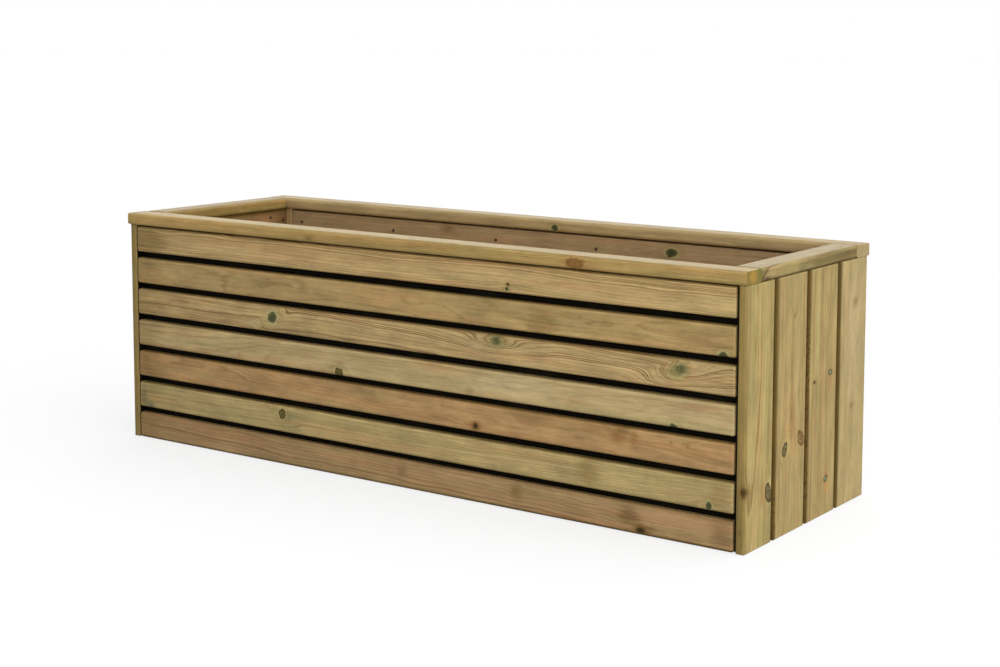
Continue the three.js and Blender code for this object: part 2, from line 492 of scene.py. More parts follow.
def round_knots(start, local, halves, knots, grit, off_across, off_deep, bulge):
    """The rings' offsets and bulge, bent by each knot, and for each knot how far out from its middle
    a place lies, in its radii, with a ragged outline."""
    reaches = []
    for at, beside, radius, kind, side, stretch, swell, tilt in knots:
        middle, scale = on_side(side, at, beside, radius * stretch, radius, halves)
        away = local.moved("SUBTRACT", middle)
        if tilt:
            turning = {"rotation_type": "Z_AXIS" if side == "face" else "Y_AXIS"}
            turned = {"Vector": away, "Angle": math.radians(tilt)}
            away = start.node("ShaderNodeVectorRotate", turning, turned)
        away = away.moved("MULTIPLY", scale)
        reach = away.length() + grit * min(MOST_WOBBLE, KNOT_WOBBLE / radius)
        reaches.append((reach, radius, kind))
        if not swell:
            continue
        bend = away.moved("MULTIPLY", (stretch / KNOT_SWEEP, KNOT_SQUEEZE, KNOT_SQUEEZE)).length()
        bend = bend * bend
        hold = (PUSH_FALL[0] / (bend + PUSH_FALL[1])).least(1.0)
        push = away.part(1 if side == "face" else 2) * radius * hold * KNOT_PUSH
        if side == "face":
            off_across = off_across - push
        else:
            off_deep = off_deep - push
        bulge = bulge - (radius * swell) / (bend * SWELL_FALL + 1.0)
    return off_across, off_deep, bulge, reaches


def late_wood(start, radius, ring, seed):
    """How much a place that far from the pith lies in the dark late wood of its year."""
    one_way = {"noise_dimensions": "1D"}
    sockets = {"W": radius / WANDER_MM + seed * WANDER_SEED, "Detail": 1.0}
    wander = start.node("ShaderNodeTexNoise", one_way, sockets)
    years = radius / ring + wander * WANDER_YEARS
    stops = [(at, (v, v, v, 1.0)) for at, v in RING_STOPS]
    late = start.node("ShaderNodeValToRGB", {"stops": stops}, {0: years.maths("FRACT", years)})
    sockets = {"W": years * STRENGTH_YEARS + seed * STRENGTH_SEED, "Detail": 0.0}
    strength = start.node("ShaderNodeTexNoise", one_way, sockets)
    return late * strength.fade(*STRENGTH_FADE)


def marked(wood, local, halves, stains, reaches, ragged):
    """The wood with its stains, and its knots over them."""
    for at, beside, length, width, stain, strength, side in stains:
        middle, scale = on_side(side, at, beside, length, width, halves)
        spread = local.moved("SUBTRACT", middle).moved("MULTIPLY", scale)
        reach = spread.length() + ragged
        wood = wood.mixed(reach.fade(*STAIN_FADE, strength, 0.0), colour(*stain))
    for reach, radius, kind in reaches:
        layer = wood.node("ShaderNodeValToRGB", {"stops": KNOTS[kind]}, {0: reach / KNOT_REACH})
        turns = reach * (radius / KNOT_RING)
        rings = turns.maths("FRACT", turns).fade(*KNOT_RING_FADE)
        ringed = layer.mixed(reach.fade(*KNOT_OUTLINE, 1.0, 0.0), rings, "MULTIPLY")
        wood = wood.mixed(layer.beside("Alpha"), ringed)
    return wood


def with_painted_edge_shade(wood, across, half_width, streak, near_shade, far_shade, depth):
    """Painted shade on the wood's two long edges, over that many mm, for the shade in joints and gaps.
    """
    ragged = across + streak * (depth * EDGE_RAGGED)
    core = depth * EDGE_CORE
    near = ragged.fade(-half_width + core, -half_width + depth, near_shade, 0.0)
    far = ragged.fade(half_width - depth, half_width - core, 0.0, far_shade)
    return wood.mixed(near.most(far), EDGE_PAINTED_SHADE)


def barked(wood, along, across, half_width, grain, first, last, depth):
    """The wood with flecks of bark on its near edge, from first to last along it and depth in."""
    shallow, deepest = (depth * share - half_width for share in BARK_DEPTHS)
    reached = across.fade(shallow, deepest, 1.0, 0.0)
    outer, inner = BARK_ENDS
    stretch = along.fade(first - outer, first + inner) * along.fade(last - inner, last + outer, 1.0, 0.0)
    flecks = (grain + reached * BARK_GRAIN[2]).fade(*BARK_FADE)
    return wood.mixed(flecks * reached.fade(0.0, BARK_RIM) * stretch * BARK_COVER, BARK_TINT)


def timber(
    name,
    centre,
    axes,
    halves,
    light,
    dark,
    seed,
    pith,
    contrast,
    ring=3.0,
    drift=(0.0, 0.0),
    wave=3.0,
    green=0.25,
    pink=0.25,
    blotch=0.10,
    facings=(),
    edge_shade=None,
    bark=None,
    knots=(),
    stains=(),
    roughness=0.56,
):
    """Softwood worked out in the solid, in mm from the board's centre: rings round a pith that lies
    outside or inside the board and drifts along it, knots that push the rings aside, fibre streaks,
    and the uneven green and pink of pressure treatment. facings are tones for faces turned one way:
    end grain, and painted shade and sheen. edge_shade lays painted shade on the long edges."""
    half_length, half_width = halves
    material, start = new_material(name)
    place = start.node("ShaderNodeTexCoord", output="Object")
    moving = {"Vector": place, "Location": axes @ Vector(centre) * -MM}
    moving.update({"Rotation": axes.to_euler(), "Scale": (MM, MM, MM)})
    local = start.node("ShaderNodeMapping", None, moving)
    along = local.part(0)
    across, deep = along.beside(1), along.beside(2)
    slow, short, grit, fibre, streak, cloud, tint = noises(start, local, seed)

    off_across = across - pith[0] - along * drift[0]
    off_deep = deep - pith[1] - along * drift[1]
    bulge = slow * wave * WAVE_REACH + short * RIPPLE_REACH
    off_across, off_deep, bulge, reaches = round_knots(
        start, local, halves, knots, grit, off_across, off_deep, bulge
    )
    from_pith = start.node("ShaderNodeCombineXYZ", None, {0: off_across, 1: off_deep}).length()
    late = late_wood(start, from_pith + bulge, ring, seed)

    wood = start.blend(late * contrast, light, dark)
    wood = wood.mixed(tint.fade(*TINT_FADE) * green, GREEN_TINT)
    wood = wood.mixed((0.0 - tint).fade(*TINT_FADE) * pink, PINK_TINT)
    # Tones by which way a face turns: end grain, and painted shade and sheen.
    for direction, tone, strength in facings:
        normal = start.node("ShaderNodeNewGeometry", output="Normal")
        towards = normal.moved("DOT_PRODUCT", direction, "Value")
        wood = wood.mixed(towards.fade(*FACING_FADE) * strength, tone)
    ragged = streak * STAIN_RAGGED[0] + short * STAIN_RAGGED[1]
    wood = marked(wood, local, halves, stains, reaches, ragged)
    # Painted shade on the long edges, where joints and gaps fall in shade.
    if edge_shade:
        wood = with_painted_edge_shade(wood, across, half_width, streak, *edge_shade)
    if bark:
        grain = grit + streak * BARK_GRAIN[0] + cloud * BARK_GRAIN[1]
        wood = barked(wood, along, across, half_width, grain, *bark)

    level = 1.0 + fibre * (FIBRE_LEVEL[0] + FIBRE_LEVEL[1] * contrast)
    level = level + streak * (STREAK_LEVEL[0] + STREAK_LEVEL[1] * contrast)
    level = level + cloud * (blotch * CLOUD_LEVEL)
    cut = along.size().fade(half_length - END_CUT[0], half_length - END_CUT[1], 1.0, END_SHADE)
    wood = wood.mixed(1.0, level * cut, "MULTIPLY")
    relief = late * LATE_RELIEF + fibre * FIBRE_RELIEF
    height = {"Strength": 1.0, "Distance": 1.0 / MM, "Height": relief}
    surface = {
        "Base Color": wood,
        "Roughness": roughness + fibre * FIBRE_GLOSS - late * LATE_GLOSS,
        "Specular IOR Level": WOOD_SPECULAR,
        "Normal": start.node("ShaderNodeBump", None, height, "Normal"),
    }
    start.node("ShaderNodeBsdfPrincipled", None, surface).feeds()
    return material


END_SHARE = 0.99  # of a board's half length, past which an edge counts as an end edge
LONG_SHARE = 0.9  # of an edge's length that runs along the board, for a long edge
BOW_STATIONS = 9
ARRIS_FLATS = 5


def board_tree():
    """Geometry Nodes for one board: a bar along X, bowed a little, its long and end edges marked
    with the share of the arris that each gets."""
    tree = bpy.data.node_groups.new("board", "GeometryNodeTree")
    tree.is_modifier = True
    inputs = {}
    for name, kind, value in (
        ("Size", "NodeSocketVector", (1.0, 0.1, 0.02)),
        ("Stations", "NodeSocketInt", BOW_STATIONS),
        ("Bow", "NodeSocketVector", (0.0, 0.0, 0.0)),
        ("End Ease", "NodeSocketFloat", 0.5),
        ("Place", "NodeSocketVector", (0.0, 0.0, 0.0)),
        ("Turn", "NodeSocketVector", (0.0, 0.0, 0.0)),
        ("Material", "NodeSocketMaterial", None),
    ):
        socket = tree.interface.new_socket(name=name, in_out="INPUT", socket_type=kind)
        if value is not None:
            socket.default_value = value
        inputs[name] = socket.identifier
    tree.interface.new_socket(name="Geometry", in_out="OUTPUT", socket_type="NodeSocketGeometry")
    start = Reading(tree)
    given = start.node("NodeGroupInput")
    want = {name: given.beside(name) for name in inputs}
    shape = {"Size": want["Size"], "Vertices X": want["Stations"], "Vertices Y": 2, "Vertices Z": 2}
    bar = start.node("GeometryNodeMeshCube", None, shape, "Mesh")
    x = start.node("GeometryNodeInputPosition").part(0)
    length = want["Size"].part(0)
    ends = start.node("GeometryNodeInputMeshEdgeVertices", output="Position 1")
    others = ends.beside("Position 2")
    lengthways = ends.moved("SUBTRACT", others).part(0).size()
    is_long = lengthways.past(ends.moved("DISTANCE", others, "Value") * LONG_SHARE)
    is_end = ends.moved("ADD", others).part(0).size().past(length * END_SHARE)
    marks = is_long.most(is_end * want["End Ease"])
    bar = start.node(
        "GeometryNodeStoreNamedAttribute",
        {"data_type": "FLOAT", "domain": "EDGE"},
        {"Geometry": bar, "Name": "bevel_weight_edge", "Value": marks},
    )
    t = x / length * 2.0
    sway = want["Bow"].scaled(1.0 - t * t)
    bar = start.node("GeometryNodeSetPosition", None, {"Geometry": bar, "Offset": sway})
    setting = {"Geometry": bar, "Translation": want["Place"], "Rotation": want["Turn"]}
    bar = start.node("GeometryNodeTransform", None, setting)
    bar = start.node("GeometryNodeRealizeInstances", None, {"Geometry": bar})
    bar = start.node("GeometryNodeSetMaterial", None, {"Geometry": bar, "Material": want["Material"]})
    bar.feeds("NodeGroupOutput", 0)
    return tree, inputs


BOARD_TREE, BOARD_INPUTS = board_tree()


def plain_piece(name, holder):
    """The evaluated shape of holder, modifiers and all, as a plain mesh object of that name."""
    bpy.context.view_layer.update()
    seen = holder.evaluated_get(bpy.context.evaluated_depsgraph_get())
    mesh = bpy.data.meshes.new_from_object(seen)
    mesh.name = name
    piece = add_to_scene(bpy.data.objects.new(name, mesh))
    empty = holder.data
    bpy.data.objects.remove(holder)
    bpy.data.meshes.remove(empty)
    return piece


def dress(node, grain, width, arris, end_ease, slot, bow=0.0, **look):
    """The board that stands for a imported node: its box, bowed and with rounded arrises, in a wood of
    its own. grain and width name the room's axes that the board's length and width run along."""
    low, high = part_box(node)
    centre = (low + high) / 2
    axes = board_axes(grain, width)
    size = Vector([abs(v) for v in axes @ (high - low)])
    wood = timber(node + "_wood", centre, axes, [v * MM / 2 for v in size[:2]], **look)
    holder = add_to_scene(bpy.data.objects.new("holder", bpy.data.meshes.new("holder")))
    shape = holder.modifiers.new("board", "NODES")
    shape.node_group = BOARD_TREE
    for key, value in (
        ("Size", size),
        ("Stations", BOW_STATIONS if bow else 2),
        ("Bow", (0.0, bow, 0.0)),
        ("End Ease", end_ease / arris),
        ("Place", centre),
        ("Turn", Vector(axes.transposed().to_euler())),
        ("Material", wood),
    ):
        shape[BOARD_INPUTS[key]] = value
    round_over = holder.modifiers.new("arris", "BEVEL")
    round_over.limit_method = "WEIGHT"
    round_over.offset_type = "OFFSET"
    round_over.width = arris
    round_over.segments = ARRIS_FLATS
    round_over.harden_normals = True
    piece = plain_piece(node + "_timber", holder)
    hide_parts(node)
    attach(piece, "root")


END_ARRIS = 0.005
END_EASE = 0.0015
# Painted shade on the long edges: strength on the near one and on the far one, and how far in, in mm.
CORNER_PAINTED_SHADE = (0.25, 0.15, 10.0)
JOINT_PAINTED_SHADE = (0.92, 0.15, 10.0)
LOOK_KEYS = ("light", "dark", "pith", "ring", "contrast", "blotch")
END_LOOKS = (
    (colour(156, 139, 88), colour(116, 92, 42), (-20.0, -38.0), 5.0, 0.8, 0.11),
    (colour(153, 133, 86), colour(114, 88, 42), (12.0, -46.0), 3.6, 0.9, 0.11),
    (colour(155, 135, 87), colour(116, 92, 44), (60.0, -36.0), 4.6, 0.8, 0.11),
    (colour(158, 140, 95), colour(122, 100, 53), (-40.0, -60.0), 5.0, 0.65, 0.11),
)
# Each knot: at, beside, radius, kind, side, stretch, swell, tilt. At and beside are mm from the
# board's centre, here up and towards the back; stretch is its length over its width; swell is how
# far it pushes the rings, in its radii; tilt is in degrees.
RIGHT_KNOTS = (
    (
        (-112, 27.5, 8, "dead", "face", 1.7, 0.5, 20),
        (-98, -4.5, 3.4, "dark", "edge", 1.7, 0.3, 0),
        (-155, 1, 2, "faint", "edge", 1.4, 0.2, 0),
    ),
    (
        (-61, -16.5, 6.6, "dead", "face", 1.5, 0.5, -25),
        (-54, 32.5, 7.8, "red", "face", 1.6, 0.4, 32),
    ),
    (
        (26.5, 24, 5.5, "teal", "face", 0.7, 0.4, 0),
        (19.5, -27, 3, "dark", "face", 0.6, 0.3, 0),
        (-130.5, 15.5, 6, "teal", "face", 0.8, 0.5, 20),
    ),
    (
        (-36, 0, 5, "faint", "face", 0.5, 0.4, 0),
        (120, 7, 5, "faint", "face", 0.8, 0.4, 30),
    ),
)
# Each stain: at, beside, length, width, colour, strength, side.
RIGHT_STAINS = (
    (
        (-108, 14, 24, 9, (150, 96, 58), 0.6, "face"),
        (-96, 33, 12, 3, (184, 172, 122), 0.6, "face"),
        (80, -8, 120, 3, (128, 106, 54), 0.35, "face"),
    ),
    (
        (-62, -3, 12, 8, (176, 158, 104), 0.5, "face"),
        (-40, 4, 60, 20, (150, 112, 64), 0.35, "face"),
        (60, 2, 130, 6, (126, 98, 48), 0.4, "face"),
    ),
    (
        (12, 26, 14, 7, (160, 112, 68), 0.55, "face"),
        (-143, 19, 13, 8, (170, 118, 62), 0.6, "face"),
        (-118, 13, 14, 8, (158, 110, 68), 0.45, "face"),
        (110, -18, 90, 6, (168, 160, 104), 0.5, "face"),
    ),
    ((70, 4, 120, 34, (172, 154, 116), 0.5, "face"),),
)
FRONT_FACING = (0.0, -1.0, 0.0)
# Painted shade on the front face of each corner board, which gets less light than the end's face.
CORNER_EDGE_PAINTED_SHADE = ((FRONT_FACING, colour(136, 114, 64), 0.65),)
# Where the log's bark edge shows: from and to along the board, and how far in.
END_BARK = {
    ("right", 2): (-184, -60, 6),
    ("right", 3): (-184, 184, 4.5),
    ("left", 2): (40, 184, 4),
}
LEFT_END_SEED = 10
for end in ("left", "right"):
    for number in range(1, 5):
        on_right = end == "right"
        dress(
            f"{end}_end_board_{number}",
            "z",
            "y",
            END_ARRIS,
            END_EASE,
            "end_timber",
            seed=number + (0 if on_right else LEFT_END_SEED),
            knots=RIGHT_KNOTS[number - 1] if on_right else RIGHT_KNOTS[4 - number][:1],
            stains=RIGHT_STAINS[number - 1] if on_right else (),
            facings=CORNER_EDGE_PAINTED_SHADE if number == 1 else (),
            drift=(0.02, 0.01),
            wave=2.5,
            green=0.2,
            pink=0.2,
            edge_shade=CORNER_PAINTED_SHADE if number == 1 else JOINT_PAINTED_SHADE,
            bark=END_BARK.get((end, number)),
            **dict(zip(LOOK_KEYS, END_LOOKS[number - 1])),
        )


# ---- Slats --------------------------------------------------------------------------------------
# Seven slats run along each long wall, 44 by 15 mm with well rounded arrises. Each is nailed from
# inside through the lining and the membrane, so no fixing shows on its face.
SLAT_ARRIS = 0.0045
SLAT_END_EASE = 0.0036
SLAT_BOW = 0.0003
# Painted shade on the slats' edges where they turn into the gaps, and a painted shadow line under the
# lowest slat.
SLAT_PAINTED_SHADE = (0.3, 0.6, 3.0)
LOWEST_SLAT_PAINTED_SHADE = (1.0, 0.35, 6.5)
SLAT_LOOKS = (
    (colour(181, 154, 106), colour(122, 90, 44), (-52.0, -24.0), 3.3, 0.95, 0.10),
    (colour(163, 138, 91), colour(121, 93, 49), (6.0, -70.0), 3.8, 0.5, 0.15),
    (colour(177, 152, 106), colour(106, 78, 36), (48.0, -26.0), 3.6, 1.25, 0.13),
    (colour(174, 153, 109), colour(130, 105, 60), (-16.0, -58.0), 3.4, 0.55, 0.10),
    (colour(166, 134, 90), colour(124, 86, 46), (20.0, -62.0), 3.2, 0.45, 0.14),
    (colour(172, 152, 104), colour(122, 99, 53), (-48.0, -34.0), 3.3, 0.7, 0.13),
    (colour(163, 134, 95), colour(117, 84, 48), (36.0, -48.0), 3.5, 0.65, 0.10),
)
# On the slats, at is mm to the right of the slat's middle and beside is mm up from it.
FRONT_KNOTS = (
    (
        (202, -15.5, 3.2, "green", "face", 1, 1.2, 0),
        (204, -8.5, 1.8, "dark", "face", 1, 0.6, 0),
    ),
    (
        (565, -21, 6.5, "green", "face", 1.3, 0.5, 0),
        (262, -24, 7, "faint", "face", 1.3, 1.6, 0),
    ),
    (
        (-268, 3, 9.5, "green", "face", 1.15, 0.25, -25),
        (182, 12.5, 9.5, "halo", "face", 1.6, 1.7, 0),
        (183, 13.5, 6, "core", "face", 1.4, 0, 0),
        (492, 4, 11.5, "halo", "face", 1.45, 1.5, -15),
        (499, 8, 8, "core", "face", 1.3, 0, -15),
    ),
    (
        (-126, -17, 7, "dead", "face", 1.1, 0.6, 0),
        (487.5, -21, 5.5, "green", "face", 1.2, 0.6, 0),
    ),
    (
        (145, -12.5, 4, "dark", "face", 1.1, 0.8, 0),
        (407, 18, 6, "faint", "face", 1.4, 0.8, 0),
        (484, 10.7, 2, "faint", "face", 1, 0.4, 0),
        (511, 8.8, 2, "faint", "face", 1, 0.4, 0),
    ),
    (
        (-248, 8, 7.5, "dead", "face", 0.9, 0.7, 20),
        (545, -15, 6, "green", "face", 0.75, 0.6, 0),
    ),
    (
        (436, -14.5, 4, "dark", "face", 1.5, 0.8, 0),
        (217, 7.5, 4, "faint", "face", 1.3, 0.6, 0),
    ),
)
# Soft patches of treatment, resin and shade.
FRONT_STAINS = (
    (
        (225, -12, 26, 6, (128, 112, 66), 0.35, "face"),
        (-560, 0, 60, 26, (128, 108, 62), 0.5, "face"),
    ),
    (
        (528, 1, 48, 20, (124, 100, 66), 0.5, "face"),
        (268, 0, 34, 26, (124, 98, 58), 0.6, "face"),
        (-215, 6, 10, 4, (186, 164, 118), 0.6, "face"),
    ),
    (
        (-302, -10, 20, 7, (184, 164, 118), 0.7, "face"),
        (-286, 0, 16, 10, (176, 156, 108), 0.5, "face"),
        (148, 2, 26, 12, (182, 158, 114), 0.5, "face"),
    ),
    (
        (534, 12, 50, 5, (164, 122, 86), 0.55, "face"),
        (134, -14, 12, 9, (116, 104, 68), 0.5, "face"),
        (208, 4, 84, 26, (184, 166, 126), 0.5, "face"),
        (-110, -8, 14, 9, (184, 170, 128), 0.5, "face"),
    ),
    (
        (398, 8, 16, 16, (128, 84, 44), 0.6, "face"),
        (424, 6, 10, 14, (132, 90, 48), 0.5, "face"),
        (145, -12, 28, 6, (134, 86, 46), 0.6, "face"),
        (160, -6, 12, 10, (184, 148, 104), 0.4, "face"),
        (-566, 0, 18, 26, (120, 88, 56), 0.4, "face"),
    ),
    (
        (-572, -4, 11, 22, (76, 94, 76), 0.7, "face"),
        (-556, -18, 16, 9, (76, 94, 76), 0.7, "face"),
        (-232, 5, 17, 10, (126, 130, 88), 0.5, "face"),
        (348, 0, 26, 28, (122, 102, 58), 0.65, "face"),
        (566, 0, 20, 26, (122, 98, 60), 0.5, "face"),
    ),
    (
        (414, 4, 22, 16, (112, 84, 48), 0.7, "face"),
        (440, -12, 20, 9, (106, 76, 40), 0.6, "face"),
        (446, -3, 9, 5, (172, 140, 98), 0.4, "face"),
        (516, -21, 9, 3, (52, 42, 28), 0.9, "face"),
        (2, 6, 14, 16, (116, 88, 56), 0.5, "face"),
        (222, 6, 14, 20, (116, 88, 56), 0.5, "face"),
        (566, 0, 24, 26, (112, 82, 52), 0.5, "face"),
    ),
)
# Painted shade over the far end of each front slat, where the lamps' light falls off.
FAR_END_PAINTED_SHADE = (-585, 0, 80, 40, (112, 88, 42), 0.4, "face")
SLAT_DRIFT = 0.012
SLAT_SEED = 20
BACK_SEED = 10
for face in ("front", "back"):
    for number in range(1, 8):
        if face == "front":
            knots, stains = FRONT_KNOTS[number - 1], (*FRONT_STAINS[number - 1], FAR_END_PAINTED_SHADE)
        else:
            knots = [(-k[0], *k[1:]) for k in FRONT_KNOTS[7 - number][:2]]
            stains = [(-s[0], *s[1:]) for s in FRONT_STAINS[7 - number][:1]]
        dress(
            f"{face}_slat_{number}",
            "x",
            "z",
            SLAT_ARRIS,
            SLAT_END_EASE,
            "slat_timber",
            bow=SLAT_BOW if number % 2 else -SLAT_BOW,
            seed=SLAT_SEED + number + (0 if face == "front" else BACK_SEED),
            knots=knots,
            stains=stains,
            drift=(SLAT_DRIFT * (-1) ** number, 0.01),
            wave=2.0,
            edge_shade=LOWEST_SLAT_PAINTED_SHADE if number == 7 else SLAT_PAINTED_SHADE,
            **dict(zip(LOOK_KEYS, SLAT_LOOKS[number - 1])),
        )


# ---- Membrane -----------------------------------------------------------------------------------
# A matt black plastic sheet, embossed with fine dimples, is nailed in behind the outer boards of each
# wall. It keeps the soil in and shows as the black of every gap.
DIMPLES_PER_METRE = 420.0
DIMPLE_DEPTH = 0.0004
SCUFFS_PER_METRE = 14.0
BLACK_SHEET = colour(12, 10, 5)
SCUFFED_SHEET = colour(26, 23, 15)
SHEET_ROUGHNESS = 0.55
SCUFF_ROUGHNESS = 0.25
SHEET_SPECULAR = 0.03

membrane_material, start = new_material("black_sheet")
place = start.node("ShaderNodeTexCoord", output="Object")
sockets = {"Vector": place, "Scale": DIMPLES_PER_METRE}
dimple = start.node("ShaderNodeTexVoronoi", None, sockets, "Distance")
sockets = {"Vector": place, "Scale": SCUFFS_PER_METRE, "Detail": 4.0}
scuff = start.node("ShaderNodeTexNoise", None, sockets)
emboss = {"Strength": 0.5, "Distance": DIMPLE_DEPTH, "Height": dimple}
sheet = {
    "Base Color": start.blend(scuff.fade(0.5, 0.8), BLACK_SHEET, SCUFFED_SHEET),
    "Roughness": SHEET_ROUGHNESS + scuff * SCUFF_ROUGHNESS,
    "Specular IOR Level": SHEET_SPECULAR,
    "Normal": start.node("ShaderNodeBump", None, emboss, "Normal"),
}
start.node("ShaderNodeBsdfPrincipled", None, sheet).feeds()
for wall in ("front", "back", "left", "right"):
    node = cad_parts[wall + "_membrane"]
    node.data.materials.clear()
    node.data.materials.append(membrane_material)


# ---- Lining, battens and cleats -----------------------------------------------------------------
# Inside, each long wall is lined with four rough boards, an upright batten stands in each corner,
# and two cleats cross each end. All are sawn, with only a touch off their arrises.
SAWN = (0.0015, 0.0010, "inner_timber")  # arris, end ease, slot
LINING_LOOK = dict(
    light=colour(166, 140, 102), dark=colour(140, 110, 76), contrast=0.5, roughness=0.7
)
PALE_LOOK = dict(LINING_LOOK, light=colour(186, 160, 114), dark=colour(160, 130, 88))
# A darker copy of the lining look for the left cleats: painted shade inside the far end.
PAINTED_SHADE_LOOK = dict(LINING_LOOK, light=colour(122, 92, 58), dark=colour(88, 62, 36), blotch=0.16)
# Painted shade on the cleats' edges, deepest along the top in the shadow under the rim.
CLEAT_PAINTED_SHADE = (0.3, 0.8, 9.0)
BACK_TOP_KNOTS = (
    (-181, 29, 6, "faint", "face", 1.4, 0.6, 0),
    (273, 21, 7, "green", "face", 1.6, 0.7, 0),
)
# Where the seeds of each group start.
LINING_SEED = 50
BACK_LINING_SEED = 5
BATTEN_SEED = 60
CLEAT_SEED = 70
BEARER_SEED = 80
BASE_SEED = 84
RIM_SEED = 90
for wall in ("front", "back"):
    for number in range(1, 5):
        knots = ()
        if (wall, number) == ("back", 1):
            knots = BACK_TOP_KNOTS
        elif number % 2 == 0:
            knots = ((150.0 * number - 330.0, 12.0, 7.0, "brown", "face", 1.3, 0.6, 0.0),)
        dress(
            f"{wall}_lining_board_{number}",
            "x",
            "z",
            *SAWN,
            seed=LINING_SEED + number + (0 if wall == "front" else BACK_LINING_SEED),
            knots=knots,
            pith=(14.0 * (-1) ** number, -52.0),
            drift=(0.02, 0.0),
            **LINING_LOOK,
        )
for long_side in ("front", "back"):
    for end in ("left", "right"):
        dress(
            f"{long_side}_{end}_corner_batten",
            "z",
            "x",
            *SAWN,
            seed=BATTEN_SEED + len(long_side) * 2 + len(end),
            pith=(24.0, -30.0),
            **(PALE_LOOK if (long_side, end) == ("back", "left") else LINING_LOOK),
        )
for end in ("left", "right"):
    for level in ("top", "bottom"):
        dress(
            f"{end}_{level}_cleat",
            "y",
            "z",
            *SAWN,
            seed=CLEAT_SEED + len(end) * 2 + len(level),
            pith=(-26.0, -22.0),
            edge_shade=CLEAT_PAINTED_SHADE,
            **(PAINTED_SHADE_LOOK if end == "left" else LINING_LOOK),
        )


# ---- Base ---------------------------------------------------------------------------------------
# Three loose-spaced boards make the bottom. They rest on three bearers and the two lower cleats and
# are screwed down to them, with gaps between that let the water out.
for number in range(1, 4):
    dress(
        f"base_bearer_{number}",
        "y",
        "z",
        *SAWN,
        seed=BEARER_SEED + number,
        pith=(28.0, 20.0),
        **LINING_LOOK,
    )
    dress(
        f"base_board_{number}",
        "x",
        "y",
        *SAWN,
        seed=BASE_SEED + number,
        pith=(10.0 * number - 22.0, -44.0),
        knots=((220.0 * number - 400.0, 14.0, 8.0, "green", "face", 1.3, 0.6, 0.0),),
        **LINING_LOOK,
    )


# ---- Rim ----------------------------------------------------------------------------------------
# Four flat rails cap the walls, 44 by 20 mm with large rounded arrises. The long ones run through
# and show their end grain, the short ones butt between them, and all are screwed down from above.
RIM_ARRIS = 0.006
RIM_END_EASE = 0.0015
UPWARD = (0.0, 0.0, 1.0)
ENDWARD = (1.0, 0.0, 0.0)
# Upward faces of the rails greyed: painted sheen of the bright room on the tops, with some sun
# bleaching.
BLEACHED_AND_PAINTED_SHEEN = colour(127, 111, 71)
WEATHERED_AND_PAINTED_SHEEN = colour(121, 104, 65)
RIM_LOOKS = {
    "front": dict(light=colour(160, 136, 83), dark=colour(122, 92, 40)),
    "back": dict(light=colour(164, 140, 86), dark=colour(122, 92, 40)),
    "left": dict(light=colour(124, 102, 56), dark=colour(96, 72, 30)),
    "right": dict(light=colour(140, 119, 78), dark=colour(97, 77, 35)),
}
# Tones of the faces that look one way: the direction, the tone, its strength.
RIM_FACINGS = {
    "front": ((UPWARD, BLEACHED_AND_PAINTED_SHEEN, 0.6), (ENDWARD, colour(123, 106, 45), 0.85)),
    "back": (
        (UPWARD, WEATHERED_AND_PAINTED_SHEEN, 0.7),
        (ENDWARD, colour(168, 150, 108), 0.7),
        (FRONT_FACING, colour(165, 143, 103), 0.75),
    ),
    "left": ((UPWARD, WEATHERED_AND_PAINTED_SHEEN, 0.8),),
    "right": ((UPWARD, BLEACHED_AND_PAINTED_SHEEN, 0.7),),
}
RIM_STAINS = {
    "front": (
        (-500, 0, 300, 16, (184, 148, 90), 0.45, "edge"),
        (-3, 1, 14, 10, (176, 138, 52), 0.75, "end"),
        (15, 5, 7, 11, (112, 112, 52), 0.7, "end"),
    ),
    "back": (),
    "left": (),
    "right": (
        (-32, -3, 24, 9, (100, 94, 50), 0.6, "edge"),
        (76, 0, 100, 14, (100, 84, 42), 0.85, "edge"),
        (22, -3, 16, 8, (92, 88, 46), 0.5, "edge"),
        (-135, -7, 14, 4.5, (86, 56, 38), 0.9, "edge"),
        (-146, 6, 10, 9, (112, 104, 56), 0.6, "edge"),
        (-120, 0, 16, 6, (160, 140, 92), 0.5, "edge"),
    ),
}
RIM_KNOTS = {
    "front": (
        (324, -1.5, 6.5, "brown", "edge", 1.9, 0.8, 0),
        (-182, -3, 4, "faint", "edge", 1.8, 1, 0),
    ),
    "back": ((50, -3, 5, "green", "edge", 1.5, 0.6, 0),),
    "left": ((40, 0, 4, "faint", "edge", 1.6, 0.6, 0),),
    "right": (
        (-104, -46, 60, "arc", "edge", 1, 0, 0),
        (-70, -1, 14, "clear", "edge", 1.8, 0, 0),
    ),
}
for number, rail in enumerate(("front", "back", "left", "right")):
    long_rail = rail in ("front", "back")
    dress(
        f"{rail}_rim_rail",
        "x" if long_rail else "y",
        "y" if long_rail else "-x",
        RIM_ARRIS,
        RIM_END_EASE,
        "rim_timber",
        seed=RIM_SEED + number,
        ring=2.8,
        pith=(9.0 * number - 18.0, -34.0),
        drift=(0.01, 0.01),
        wave=2.0,
        contrast=0.85,
        facings=RIM_FACINGS[rail],
        knots=RIM_KNOTS[rail],
        stains=RIM_STAINS[rail],
        **RIM_LOOKS[rail],
    )


